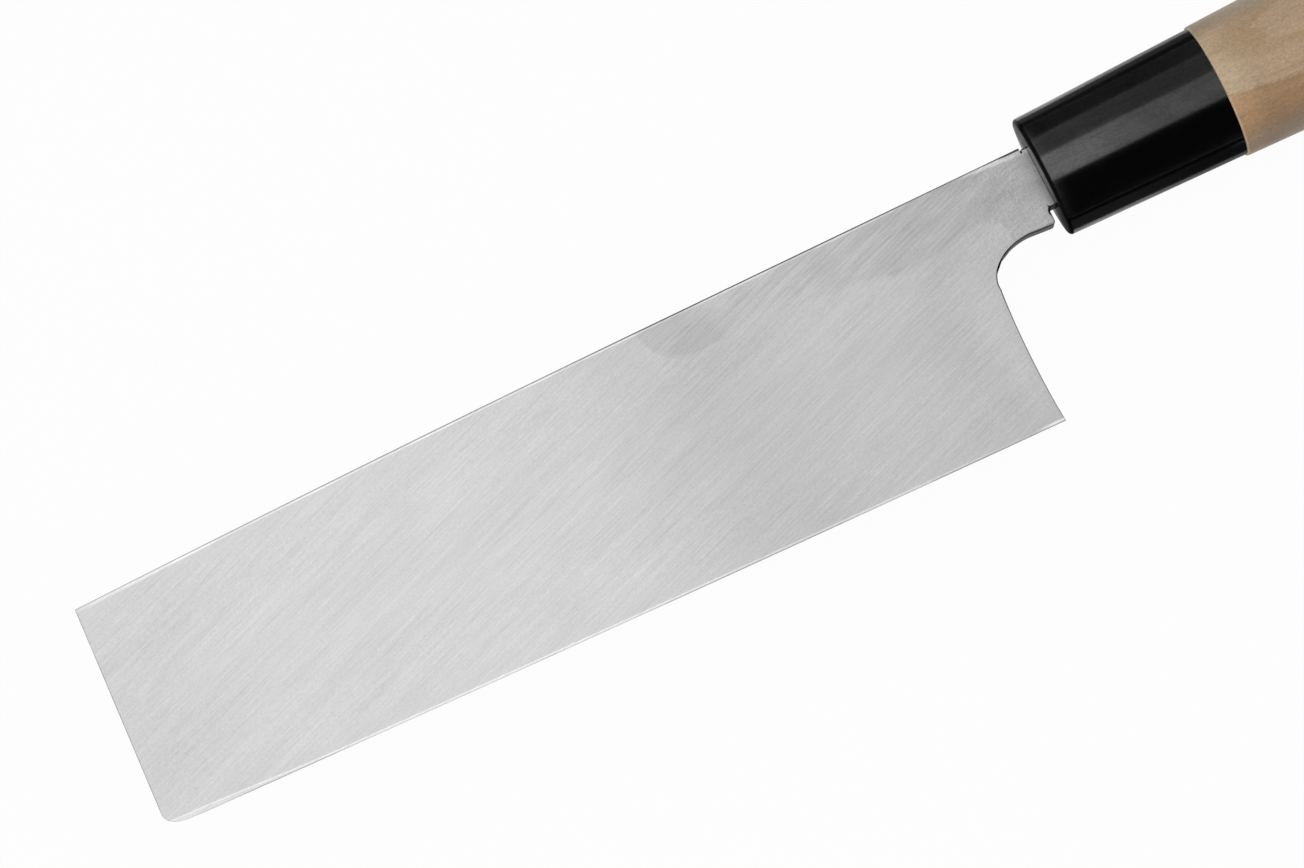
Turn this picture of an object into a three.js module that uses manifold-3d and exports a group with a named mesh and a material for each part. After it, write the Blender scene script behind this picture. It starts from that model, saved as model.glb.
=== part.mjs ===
// An usuba: a Japanese vegetable knife with a square blade ground on one side only, on an oval wooden handle.
// Lengths are in millimetres. X runs along the handle, from the ferrule's front face towards the butt,
// Y rises from the cutting edge to the spine, and Z points out of the blade's hollow back.
import * as THREE from "three";
import { mergeVertices } from "three/addons/utils/BufferGeometryUtils.js";
import Module from "manifold-3d";

const wasm = await Module();
wasm.setup();

// Blade outline, with heights and depths measured from the handle's axis
const machiGap = 1.4; // bare tang between the ferrule and the notch where the blade starts
const bladeLength = 180.7; // from the notch to the upper tip corner
const neckLength = 14; // from the notch to the heel corner
const spineHeight = 6.05;
const spineFall = 1.3; // how far the spine has dropped at the tip
const spineFallLength = 112; // stretch of spine over which it drops
const heelDepth = 40.2; // cutting edge at the heel
const tipDepth = 36.2; // cutting edge at the tip
const edgeBelly = 0.2; // bow of the cutting edge below its chord
const tipLean = 1.9; // how far the lower tip corner stands out past the upper one
const tipCutLength = 2.5; // slanting cut across the lower tip corner, along the edge
const tipCutHeight = 1.7; // that cut, along the tip
const tipRounding = 1.2; // reach of the round at each end of that cut
const heelHollow = 0.5; // how far the heel line curves in
const heelLean = 0.35; // how far the heel corner stands out past the foot of the choil
const neckDepth = 8.6; // underside of the neck at the notch
const neckArch = 0.35; // rise of that underside towards the choil
const neckCornerRounding = 0.6;
const choilWidth = 7.3; // reach of the choil's round along the neck
const choilDrop = 6.2; // reach of the choil's round down the heel

// Blade thickness and grind
const neckThickness = 4;
const tipThickness = 2.2;
const edgeSteelThickness = 1.2;
const edgeLand = 0.25; // thickness left at the cutting edge
const bevelHeel = 23; // width of the front bevel at the heel
const bevelTip = 20; // width of the front bevel at the tip

// Hollow ground into the back, and the flat left unhollowed beside the neck
const hollowDepth = 0.3;
const hollowSpineRim = 0.6;
const hollowEdgeRim = 0.9;
const hollowTipRim = 0.5;
const hollowTipRounding = 4.4; // reach of the round at the hollow's lower tip corner
const hollowHeelRim = 0.6;
const hollowSlopeAlong = 4; // run of the hollow's slope beside the flat and the heel, along the blade
const hollowSlopeAcross = 3; // run of that slope across the blade
const flatLength = 72.5; // flat along the spine, from the notch
const flatFrontDrop = 7.8; // lowest point of the flat's front lobe, below the spine
const flatFrontRound = 5.4; // reach of that lobe's round along the spine
const flatRearDrop = 11.4; // lowest point of the flat's rear lobe, below the spine
const flatRearReach = 26; // from the notch to the rear lobe's lowest point
const flatWaist = 1; // rise of the flat's border between its lobes
const flatNeckReach = 8.3; // flat along the neck's underside, from the notch

// Tang
const tangTop = 5.65; // above the handle's axis, at the ferrule
const tangBottom = 5.6; // below the handle's axis, at the ferrule
const tangLength = 88; // inside the handle
const tangEndHeight = 5;
const tangEndThickness = 2.4;
const notchFillet = 0.7;

// Ferrule
const ferruleLength = 34.3;
const ferruleFrontHeight = 22.4;
const ferruleFrontDepth = 17.9;
const ferruleRearHeight = 24.15;
const ferruleRearDepth = 19.3;
const ferruleRounding = 0.7; // round of the front edge
const ferruleSlant = 0.3; // how far the front face leans back from the spine's side to the edge's side
const ferruleTilt = 0.8; // how far it leans back from the blade's hollow side to the other side
const ferruleCapWall = 4;

// Wooden handle
const handleLength = 128; // with the ferrule
const gripFrontHeight = 24.85;
const gripFrontDepth = 19.9;
const buttHeight = 28.5;
const buttDepth = 22.8;
const buttRounding = 1.4;
const shoulderChamfer = 0.35;
const handleRise = 1.2; // how far the handle's centre line climbs towards the spine at the butt
const tenonHeight = 18.6;
const tenonDepth = 14;

// Fits
const fitGap = 0.3; // air between pieces that slide into each other
const beddingWall = 1;

// Fineness of the round forms
const curveSteps = 14;
const ovalSides = 56;
const roundingSteps = 5;
const gripSteps = 10;
const bevelSteps = 16;
const hollowShares = [0.85, 0.68, 0.5, 0.32, 0.15]; // rings of the hollow, as shares of the way to its middle
const slopeSteps = 5; // rings of the slope beside the flat and the heel

const margin = 3; // how far a cutting shape runs past the piece that it cuts

// Places worked out from the sizes above
const notchX = -machiGap;
const heelX = notchX - neckLength;
const upperTip = new THREE.Vector2(notchX - bladeLength, spineHeight - spineFall);
const lowerTip = new THREE.Vector2(upperTip.x - tipLean, -tipDepth);
const backZ = neckThickness / 2;
const weldZ = backZ - edgeSteelThickness;
const tenonFrontX = ferruleCapWall + fitGap;

const { lerp } = THREE.MathUtils;

// Blade thickness, which falls evenly from the notch to the tip
function thicknessAt(x) {
  return lerp(neckThickness, tipThickness, (notchX - x) / bladeLength);
}

// Height of the straight line from the heel corner to the lower tip corner
function edgeAt(x) {
  return lerp(-heelDepth, -tipDepth, (heelX - x) / (heelX - lowerTip.x));
}

// Height of the handle's centre line
function centreAt(x) {
  return (handleRise * x) / handleLength;
}

// Turns a closed geometry into a solid that can be joined and cut.
function solid(geometry) {
  geometry.deleteAttribute("normal");
  geometry.deleteAttribute("uv");
  const merged = mergeVertices(geometry);
  return new wasm.Manifold(
    new wasm.Mesh({
      numProp: 3,
      vertProperties: merged.attributes.position.array,
      triVerts: new Uint32Array(merged.index.array),
    }),
  );
}

// Joins rings of equally many points into a closed solid. The rings follow each other along an axis, and each
// runs counter-clockwise seen from where that axis points.
function loft(rings) {
  const sides = rings[0].length;
  const middle = (ring) => ring.reduce((sum, p) => sum.add(p), new THREE.Vector3()).divideScalar(sides);
  const first = rings[0];
  const last = rings[rings.length - 1];
  const firstMiddle = middle(first);
  const lastMiddle = middle(last);
  const corners = [];
  for (let i = 0; i < sides; i++) {
    const next = (i + 1) % sides;
    corners.push(firstMiddle, first[next], first[i]);
    corners.push(lastMiddle, last[i], last[next]);
    for (let r = 0; r + 1 < rings.length; r++) {
      corners.push(rings[r][i], rings[r][next], rings[r + 1][next]);
      corners.push(rings[r][i], rings[r + 1][next], rings[r + 1][i]);
    }
  }
  return solid(new THREE.BufferGeometry().setFromPoints(corners));
}

// Oval section of the handle at x
function ovalRing(x, height, depth) {
  const centre = centreAt(x);
  return Array.from({ length: ovalSides }, (_, i) => {
    const angle = (2 * Math.PI * i) / ovalSides;
    return new THREE.Vector3(x, centre + (height / 2) * Math.cos(angle), (depth / 2) * Math.sin(angle));
  });
}

// Section of the tang, grown by a clearance, and set at x
function tangRing(x, clearance) {
  const share = THREE.MathUtils.clamp(x / tangLength, 0, 1);
  const low = lerp(-tangBottom, -tangEndHeight / 2, share) - clearance;
  const high = lerp(tangTop, tangEndHeight / 2, share) + clearance;
  const reach = lerp(neckThickness, tangEndThickness, share) / 2 + clearance;
  return [
    new THREE.Vector3(x, low, -reach),
    new THREE.Vector3(x, high, -reach),
    new THREE.Vector3(x, high, reach),
    new THREE.Vector3(x, low, reach),
  ];
}

// Tang-shaped bar from startX, closed at a distance past the tang's end
function tangBar(startX, clearance, pastEnd) {
  const end = tangRing(tangLength, clearance);
  const rings = [tangRing(startX, clearance), tangRing(0, clearance), end];
  if (pastEnd > 0) {
    rings.push(end.map((p) => new THREE.Vector3(tangLength + pastEnd, p.y, p.z)));
  }
  return loft(rings.filter((ring, i) => i === 0 || ring[0].x > rings[0][0].x));
}

// Plate with a flat top and an underside whose height is given along X
function plate(outline, topZ, undersideAt) {
  const geometry = new THREE.ExtrudeGeometry(outline, {
    depth: 1,
    bevelEnabled: false,
    curveSegments: curveSteps,
  });
  const place = geometry.attributes.position;
  for (let i = 0; i < place.count; i++) {
    place.setZ(i, place.getZ(i) > 0.5 ? topZ : undersideAt(place.getX(i)));
  }
  return solid(geometry);
}

// Runs an outline up to a corner and round it, on the way to the next one
function roundCorner(outline, previous, corner, next) {
  const start = previous.clone().sub(corner).setLength(tipRounding).add(corner);
  const end = next.clone().sub(corner).setLength(tipRounding).add(corner);
  outline.lineTo(start.x, start.y);
  outline.quadraticCurveTo(corner.x, corner.y, end.x, end.y);
  return end;
}

// Outline of the blade, from the notch along the spine, tip, edge, heel and neck
function bladeOutline() {
  const choilX = heelX + heelLean;
  const choilTop = -neckDepth + neckArch;
  const choilFoot = choilTop - choilDrop;
  const neckEndX = choilX + choilWidth;
  const heel = new THREE.Vector2(heelX, -heelDepth);
  const cutTop = new THREE.Vector2(lowerTip.x, lowerTip.y + tipCutHeight);
  const cutFoot = new THREE.Vector2(lowerTip.x + tipCutLength, edgeAt(lowerTip.x + tipCutLength));
  const outline = new THREE.Shape();
  outline.moveTo(notchX, spineHeight);
  outline.lineTo(upperTip.x + spineFallLength, spineHeight);
  outline.quadraticCurveTo(upperTip.x + spineFallLength / 2, spineHeight, upperTip.x, upperTip.y);
  roundCorner(outline, upperTip, cutTop, cutFoot);
  const edgeEnd = roundCorner(outline, cutTop, cutFoot, heel);
  const edgeMiddle = edgeEnd.clone().add(heel).divideScalar(2);
  outline.quadraticCurveTo(edgeMiddle.x, edgeMiddle.y - 2 * edgeBelly, heel.x, heel.y);
  outline.quadraticCurveTo(heelX - 2 * heelHollow, (choilFoot - heelDepth) / 2, choilX, choilFoot);
  outline.absellipse(neckEndX, choilFoot, choilWidth, choilDrop, Math.PI, Math.PI / 2, true);
  outline.quadraticCurveTo((neckEndX + notchX) / 2, choilTop, notchX - neckCornerRounding, -neckDepth);
  outline.quadraticCurveTo(notchX, -neckDepth, notchX, -neckDepth + neckCornerRounding);
  return outline;
}

// Outline of the bare tang between the notch and the ferrule, with the round at the bottom of the notch
function tangRootOutline() {
  const outline = new THREE.Shape();
  outline.moveTo(notchX, tangTop);
  outline.lineTo(notchX, -tangBottom - notchFillet);
  outline.quadraticCurveTo(notchX, -tangBottom, notchX + notchFillet, -tangBottom);
  outline.lineTo(0, -tangBottom);
  outline.lineTo(0, tangTop);
  return outline;
}

// What the wide front bevel takes off, below a surface from the shinogi ridge to the cutting edge
function bevelCut() {
  const startX = lowerTip.x - margin;
  const endX = heelX + margin;
  const floorZ = backZ - neckThickness - margin;
  const rings = [];
  for (let i = 0; i <= bevelSteps; i++) {
    const x = lerp(startX, endX, i / bevelSteps);
    const width = lerp(bevelHeel, bevelTip, (heelX - x) / (heelX - lowerTip.x));
    const ridgeZ = backZ - thicknessAt(x);
    const edgeZ = backZ - edgeLand;
    const edgeY = edgeAt(x);
    const slope = (edgeZ - ridgeZ) / width;
    rings.push([
      new THREE.Vector3(x, edgeY - margin, floorZ),
      new THREE.Vector3(x, edgeY + width, floorZ),
      new THREE.Vector3(x, edgeY + width, ridgeZ),
      new THREE.Vector3(x, edgeY - margin, edgeZ + slope * margin),
    ]);
  }
  return loft(rings);
}

// Height of the hollow's surface at a share of the way from its border to its middle
function hollowZ(share) {
  return backZ - hollowDepth * (1 - (1 - share) ** 2);
}

// Corner where the borders of the flat and of the heel's rim meet, at the neck's underside
const hollowEnd = new THREE.Vector2(notchX - flatNeckReach, -neckDepth + neckArch + hollowHeelRim);

// Border of the hollow along spine, tip and edge, run on past the heel
function bowlOutline() {
  const top = spineHeight - hollowSpineRim;
  const frontX = lowerTip.x + hollowTipRim;
  const tipTop = new THREE.Vector2(upperTip.x + hollowTipRim, upperTip.y - hollowSpineRim);
  const edgeStartX = frontX + hollowTipRounding;
  const outline = new THREE.Shape();
  outline.moveTo(tipTop.x, tipTop.y);
  outline.lineTo(frontX, edgeAt(frontX) + hollowEdgeRim + hollowTipRounding);
  outline.quadraticCurveTo(
    frontX,
    edgeAt(frontX) + hollowEdgeRim,
    edgeStartX,
    edgeAt(edgeStartX) + hollowEdgeRim,
  );
  outline.lineTo(hollowEnd.x, edgeAt(hollowEnd.x) + hollowEdgeRim);
  outline.lineTo(hollowEnd.x, top);
  outline.lineTo(upperTip.x + spineFallLength, top);
  outline.quadraticCurveTo(upperTip.x + spineFallLength / 2, top, tipTop.x, tipTop.y);
  return outline;
}

// Flat beside the neck, with two lobes
function flatOutline() {
  const flatFrontX = notchX - flatLength;
  const frontLobe = new THREE.Vector2(flatFrontX + flatFrontRound, spineHeight - flatFrontDrop);
  const rearLobe = new THREE.Vector2(notchX - flatRearReach, spineHeight - flatRearDrop);
  const outline = new THREE.Shape();
  outline.moveTo(notchX + margin, spineHeight + margin);
  outline.lineTo(flatFrontX, spineHeight + margin);
  outline.lineTo(flatFrontX, spineHeight - hollowSpineRim);
  outline.quadraticCurveTo(flatFrontX, frontLobe.y, frontLobe.x, frontLobe.y);
  outline.quadraticCurveTo((rearLobe.x + frontLobe.x) / 2, rearLobe.y + flatWaist, rearLobe.x, rearLobe.y);
  outline.quadraticCurveTo(hollowEnd.x, rearLobe.y, hollowEnd.x, hollowEnd.y);
  outline.lineTo(notchX + margin, hollowEnd.y);
  return outline;
}

// Rim left round the heel and the choil
function heelRimOutline() {
  const rimX = heelX - heelHollow - hollowHeelRim;
  const lowY = -heelDepth - hollowSlopeAcross - margin;
  const outline = new THREE.Shape();
  outline.moveTo(rimX, lowY);
  outline.lineTo(notchX + margin, lowY);
  outline.lineTo(notchX + margin, hollowEnd.y);
  outline.lineTo(hollowEnd.x, hollowEnd.y);
  outline.quadraticCurveTo(rimX, hollowEnd.y, rimX, -neckDepth - choilDrop);
  return outline;
}

// Land that the hollow leaves standing. Its sides slide out by slideX and slideY on the way down.
function land(outline, slideX, slideY) {
  const steps = slopeSteps + 1;
  const geometry = new THREE.ExtrudeGeometry(outline, {
    depth: steps,
    steps,
    bevelEnabled: false,
    curveSegments: curveSteps,
  });
  const place = geometry.attributes.position;
  for (let i = 0; i < place.count; i++) {
    const level = Math.round(place.getZ(i));
    const share = Math.max(0, 1 - level / slopeSteps);
    const z = level === steps ? backZ + 2 * margin : hollowZ(share);
    place.setXYZ(i, place.getX(i) + share * slideX, place.getY(i) + share * slideY, z);
  }
  return solid(geometry);
}

// What the hollow grind takes off: a shallow bowl, less the flat and the heel's rim
function hollowCut() {
  const border = bowlOutline().getPoints(curveSteps);
  if (border[0].equals(border[border.length - 1])) {
    border.pop();
  }
  const box = new THREE.Box2().setFromPoints(border);
  const centre = box.getCenter(new THREE.Vector2());
  const size = box.getSize(new THREE.Vector2());
  const ringAt = (share, z) =>
    border.map((p) => {
      const alongShare = (share * size.y) / size.x;
      return new THREE.Vector3(lerp(p.x, centre.x, alongShare), lerp(p.y, centre.y, share), z);
    });
  const rings = hollowShares.map((share) => ringAt(share, hollowZ(share)));
  const bowl = loft([...rings, ringAt(0, backZ), ringAt(0, backZ + margin)]);
  return bowl
    .subtract(land(flatOutline(), -hollowSlopeAlong, -hollowSlopeAcross))
    .subtract(land(heelRimOutline(), -hollowSlopeAlong, hollowSlopeAcross));
}

// Blade: a hard steel back on a soft iron body that carries the tang
const outline = bladeOutline();
const bevel = bevelCut();
const edgeSteel = plate(outline, backZ, () => weldZ)
  .subtract(bevel)
  .subtract(hollowCut());
const tangRoot = plate(tangRootOutline(), backZ, () => -backZ);
const softIron = plate(outline, weldZ, (x) => backZ - thicknessAt(x))
  .subtract(bevel)
  .add(tangRoot)
  .add(tangBar(notchX / 2, 0, 0));

// Outside of the ferrule: a tapered oval with a rounded front edge and a front face a little out of square
function ferruleOutside() {
  const ring = (x, inset) => {
    const share = x / ferruleLength;
    const height = lerp(ferruleFrontHeight, ferruleRearHeight, share) - 2 * inset;
    const depth = lerp(ferruleFrontDepth, ferruleRearDepth, share) - 2 * inset;
    return ovalRing(x, height, depth);
  };
  const slant = ferruleSlant / ferruleFrontHeight;
  const tilt = ferruleTilt / ferruleFrontDepth;
  const rings = [];
  for (let i = 0; i <= roundingSteps; i++) {
    const angle = (Math.PI / 2) * (i / roundingSteps);
    const round = ring(ferruleRounding * (1 - Math.cos(angle)), ferruleRounding * (1 - Math.sin(angle)));
    rings.push(round.map((p) => new THREE.Vector3(p.x - slant * p.y - tilt * p.z, p.y, p.z)));
  }
  rings.push(ring(ferruleLength, 0));
  return loft(rings);
}

// Oval peg of the tenon's section, grown by a clearance
function tenonBar(startX, endX, clearance) {
  const height = tenonHeight + 2 * clearance;
  const depth = tenonDepth + 2 * clearance;
  return loft([ovalRing(startX, height, depth), ovalRing(endX, height, depth)]);
}

const ferrule = ferruleOutside()
  .subtract(tenonBar(ferruleCapWall, ferruleLength + margin, fitGap))
  .subtract(tangBar(-margin, fitGap, 0));

// Outside of the wooden grip: it swells from the ferrule to a butt with rounded edges
function gripOutside() {
  const gripLength = handleLength - ferruleLength;
  const ring = (x, inset) => {
    const share = Math.sin((Math.PI / 2) * ((x - ferruleLength) / gripLength));
    const height = lerp(gripFrontHeight, buttHeight, share) - 2 * inset;
    const depth = lerp(gripFrontDepth, buttDepth, share) - 2 * inset;
    return ovalRing(x, height, depth);
  };
  const startX = ferruleLength + shoulderChamfer;
  const endX = handleLength - buttRounding;
  const rings = [ring(ferruleLength, shoulderChamfer)];
  for (let i = 0; i < gripSteps; i++) {
    rings.push(ring(lerp(startX, endX, i / gripSteps), 0));
  }
  for (let i = 0; i <= roundingSteps; i++) {
    const angle = (Math.PI / 2) * (i / roundingSteps);
    rings.push(ring(endX + buttRounding * Math.sin(angle), buttRounding * (1 - Math.cos(angle))));
  }
  return loft(rings);
}

// The tang sits in the bedding, and the bedding in the mortise, each with its gap
const beddingReach = fitGap + beddingWall;
const mortiseReach = beddingReach + fitGap;
const grip = gripOutside()
  .add(tenonBar(tenonFrontX, ferruleLength + margin, 0))
  .subtract(tangBar(tenonFrontX - margin, mortiseReach, mortiseReach));
const bedding = tangBar(tenonFrontX, beddingReach, beddingReach).subtract(
  tangBar(tenonFrontX - margin, fitGap, fitGap),
);

function finish(color, roughness, metalness) {
  return new THREE.MeshStandardMaterial({ color, roughness, metalness });
}

function piece(name, made, material) {
  const { vertProperties, triVerts } = made.getMesh();
  const geometry = new THREE.BufferGeometry();
  geometry.setAttribute("position", new THREE.BufferAttribute(vertProperties, 3));
  geometry.setIndex(new THREE.BufferAttribute(triVerts, 1));
  geometry.computeVertexNormals();
  const mesh = new THREE.Mesh(geometry, material);
  mesh.name = name;
  return mesh;
}

const knife = new THREE.Group();
knife.add(
  piece("blade_edge_steel", edgeSteel, finish(0xc9cacc, 0.35, 1)),
  piece("blade_soft_iron", softIron, finish(0xb4b6b8, 0.45, 1)),
  piece("ferrule", ferrule, finish(0x0e0e0f, 0.3, 0)),
  piece("handle", grip, finish(0xcda97f, 0.6, 0)),
  piece("tang_bedding", bedding, finish(0x7a5a38, 0.7, 0)),
);

// The knife lies on its handle with the hollow back up, and its origin is under the middle of its box.
const box = new THREE.Box3().setFromObject(knife);
const middle = box.getCenter(new THREE.Vector3());
knife.position.set(-middle.x, -middle.y, -box.min.z);

export default knife;
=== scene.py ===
import math

import bpy
import numpy as np
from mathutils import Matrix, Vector


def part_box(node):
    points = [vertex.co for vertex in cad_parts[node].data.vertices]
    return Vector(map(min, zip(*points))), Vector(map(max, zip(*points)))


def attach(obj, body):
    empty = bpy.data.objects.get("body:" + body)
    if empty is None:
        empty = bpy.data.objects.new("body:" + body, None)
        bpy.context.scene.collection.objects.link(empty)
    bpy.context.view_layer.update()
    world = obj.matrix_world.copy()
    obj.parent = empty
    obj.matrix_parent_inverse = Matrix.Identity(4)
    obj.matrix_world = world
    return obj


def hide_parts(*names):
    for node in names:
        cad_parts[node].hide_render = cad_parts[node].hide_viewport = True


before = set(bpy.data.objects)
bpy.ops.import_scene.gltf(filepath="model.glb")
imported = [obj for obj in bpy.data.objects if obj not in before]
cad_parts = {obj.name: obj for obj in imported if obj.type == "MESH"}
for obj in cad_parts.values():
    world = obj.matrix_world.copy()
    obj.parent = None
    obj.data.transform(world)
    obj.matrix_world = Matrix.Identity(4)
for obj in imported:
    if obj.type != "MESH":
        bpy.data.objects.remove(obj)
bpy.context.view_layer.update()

# An usuba knife on a white table, seen from above the hollow back of its blade.
# Pieces are modelled in millimetres. X runs from the ferrule's front face to the butt, Y from the cutting
# edge to the spine, and Z out of the blade's back, with Y and Z counted from the handle's axis.
MM = 0.001

# Blade outline, with X counted from the notch at the neck
notch_gap = 1.4
blade_length = 180.7
neck_length = 13.9
spine_height = 6.05
spine_fall = 1.3
spine_fall_length = 112
heel_depth = 40.2
tip_depth = 36.2
edge_belly = 0.3
tip_lean = 1.9
tip_cut_length = 2.3
tip_cut_height = 1.5
tip_cut_foot = 0.05
tip_rounding = 1
tip_cut_clear = 6.9
heel_hollow = 0.5
heel_rounding_share = 0.45
heel_lean = 0.2
neck_depth = 8.6
neck_rise = 0.35
neck_rounding = 0.6
choil_width = 8.8
choil_drop = 6.2

# How far the choil's curve runs on past its foot, in radians
choil_overrun = 0.065

# Blade section
neck_thickness = 4
tip_thickness = 2.2
edge_steel_thickness = 1.2
edge_land = 0.25
bevel_width = 22
edge_rounding = 0.14

# No corner is rounded below this height over the cutting edge, or this near to the end of the neck
sharp_edge_height = 0.5
sharp_end_length = 0.01

# Hollow of the back, and the border of the flat beside the neck as points of X and Y
hollow_depth = 0.3
hollow_spine_rim = 0.6
hollow_edge_rim = 0.9
hollow_end_rim = 0.6
flat_slope = 9
flat_border = [
    (-74.0, 8.0),
    (-73.2, 3.4),
    (-72.0, 1.2),
    (-69.0, -1.2),
    (-64.0, -1.9),
    (-56.0, -1.6),
    (-46.0, -2.4),
    (-38.0, -3.0),
    (-32.0, -4.0),
    (-26.0, -5.0),
    (-20.0, -4.5),
    (-15.0, -3.4),
    (-10.5, -3.4),
    (-8.6, -4.6),
    (-7.8, -9.5),
]

# Tang
tang_top = 5.65
tang_bottom = 5.6
tang_length = 88
tang_end_height = 5
tang_end_thickness = 2.4
nick_width = 0.25
nick_height = 0.6
nick_depth = 1
notch_rounding = 0.9

# Ferrule
ferrule_length = 34
ferrule_front = (22.4, 17.9)
ferrule_rear = (24.15, 19.3)
ferrule_rounding = 0.7
ferrule_slant = 0.3
ferrule_tilt = 0.8
ferrule_cap = 4
ferrule_wall = 2.4

# Wooden handle
handle_length = 128
grip_front = (24.85, 19.9)
butt = (28.5, 22.8)
butt_rounding = 1.4
shoulder_chamfer = 0.3
handle_rise = 1.2
tenon_inset = 3.1
fit_gap = 0.3
mortise_gap = 1.6
outer_rim = 0.49
cutter_margin = 2

# How far the ferrule's front face leans back per millimetre, towards the edge and towards the blade's front
face_slant = ferrule_slant / ferrule_front[0]
face_tilt = ferrule_tilt / ferrule_front[1]

# Height of the blade's back above the handle's axis
back_z = neck_thickness / 2

# Fineness, with angles in degrees
tiny = 1e-3
curve_steps = 14
oval_sides = 128
grip_steps = 14
station_step = 2
border_steps = 150
rim_segments = 7
notch_segments = 5
arris_segments = 2
sharp_angle = 50
blade_smooth = 15
oval_smooth = 30

# Rows of faces down the back, counted from the spine and the last one from the edge
flat_rows = range(2, 17)
hollow_rows = range(18, 44, 2)
last_row = 1.8

# Marks of the blade's finish: length, width and turn in degrees
fine_marks = (7, 0.19, 18.4)
crossed_marks = (5, 0.19, 12)
middle_marks = (12, 0.42, 19.5)
broad_marks = (40, 3.2, 19.5)
speck_marks = (0.5, 0.3, 18)
scratch_marks = (14, 0.3, 21)
cloud_marks = (26, 14, 18)
blotch_marks = (9, 3.5, 14)
hatch_marks = (3.5, 0.24, 80)
border_marks = (9, 3, 18)
hairline_gaps = (11, 4)
edge_shade_marks = (30, 12)
iron_marks = (7, 0.19, 12)
mist_marks = (2.2, 0.9)
iron_cloud_marks = (18, 9)
brush_depth = 0.012

# Zones of the blade's finish and of its painted light and shade: the two places along X between which each
# one sets in
neck_zone = (-18, -5)
heel_zone = (-20, -16)
tip_zone = (-172, -150)
tip_end_zone = (-182, -172)
strong_lines_zone = (-150, -95)
flat_front_zone = (-66, -58)
flat_neck_zone = (-48, -30)
shade_zone = (-104, -63)
light_zone = (-62, -44)
light_end_zone = (-36, -22)
narrow_strip_zone = (-180, -150)
faint_strip_zone = (-50, -20)
hairline_end_zone = (-28, -20)
corner_zone = (-14, -8)
faint_spine_shade_zone = (-150, -120)
rim_shade_zone = (-88, -70)
neck_shade_dip_zone = (-34, -22)
neck_end_shade_zone = (-9, -4)
wide_spine_shade_zone = (-5, -2)
wall_shade_zone = (-120, -60)
tip_corner_zone = (-178, -172)

# Other places and widths of the blade's finish and of its painted light and shade
tip_corner_height = (-34.5, -32)
heel_shade_foot = -24
shade_slant = 0.1
border_range = (-12, 8)
border_fade = (-0.4, 0.7)
border_sway = 1.6
strip_narrowing = 0.57
glint_depth = 0.35
hairline_depth = 0.4
corner_width = 1.25
corner_slope = 0.06
weld_height = 6.6
notch_shade_x = 0.55
notch_shade_rise = 0.75
front_wall = (-3.9, -3.1)
neck_end_wall = (-0.8, -0.2)

# Fades across the blade's rims, by the distance from each one's line
strip_border = (-0.06, 0.06)
strip_line = (0.05, 0.2)
glint_line = (0.1, 0.35)
corner_border = (-0.2, 0.2)
notch_shade_fade = (0.7, 1.0)
spine_shade_fade = (0.12, 0.3)
heel_shade_fade = (0.06, 0.26)
edge_shade_fade = (0.06, 0.18)
bevel_border = (-0.2, 0.2)
weld_line = (0.1, 0.6)

# How level a face is where it starts to count as a rounded edge, and as a wall
arris_faces = (0.85, 0.99)
wall_faces = (0.35, 0.8)

# Grey levels of the metals and of the black ferrule
steel_level = 0.553
iron_level = 0.53
black_level = 0.0006
scuff_level = 0.0015

# Finish of the ferrule
ferrule_scratches = (9, 0.13)
ferrule_rubs = (6, 1.6)
ferrule_specks = (0.6, 0.3)
ferrule_coat_ior = 1.85
ferrule_coat_roughness = 0.14
front_rim_depth = 0.42
front_rim_line = (0.2, 0.45)
front_rim_top = (8, 10.5)
front_face_fade = (0.06, 0.14)
front_face_middle = (-9, 0)
lower_rim_height = (-11, -9.5)
dull_zone = (8, 24)
dull_rim_zone = (12, 30)
scratch_depth = 0.008

# Wood: its marks, how its rings and its heart slope, and its colours, painted sheen, shade and highlight
# among them
wide_sway = (40, 9)
narrow_sway = (18, 2.5)
wood_fibres = (10, 0.22)
wood_streaks = (45, 1.1)
wood_flecks = (1.3, 0.4)
wood_pores = (1.1, 0.16)
wood_specks = (0.5, 0.35)
fibre_depth = 0.03
growth_slope = Vector((0.042, 0.33, 0.944))
heart_slope = Vector((0.1, 0.515, 0.858))
ring_width = 1.9
ring_start = 0.56
late_wood_rise = (0.55, 0.94)
late_wood_end = (0.94, 1.0)
heart_border = 10.1
heart_border_line = (0.1, 0.5)
heart_fade = (9.8, 10.5)
late_wood_height = (10.8, 11.6)
heart_darkening_height = (1.4, 10.4)
front_zone = (ferrule_length + 1, ferrule_length + 7)
shoulder_highlight_zone = (ferrule_length + 0.15, ferrule_length + 0.45)
front_side = (4, 10)
sheen_upper_side = (7.5, 11.2)
sheen_lower_side = (-11.2, -8.5)
sapwood_colour = (0.438, 0.306, 0.192, 1)
front_sapwood_colour = (0.515, 0.388, 0.247, 1)
late_wood_colour = (0.38, 0.255, 0.135, 1)
upper_shade_and_sheen_colour = (0.352, 0.272, 0.186, 1)
heartwood_colour = (0.365, 0.221, 0.114, 1)
darker_heartwood_colour = (0.264, 0.157, 0.074, 1)
lower_sheen_colour = (0.27, 0.213, 0.162, 1)
shoulder_highlight_colour = (0.46, 0.4, 0.28, 1)

# Resin round the tang
resin_bubbles = (0.7, 0.7)
bubble_depth = 0.05
resin_colour = (0.16, 0.085, 0.035, 1)
pale_resin_colour = (0.24, 0.135, 0.065, 1)

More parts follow.
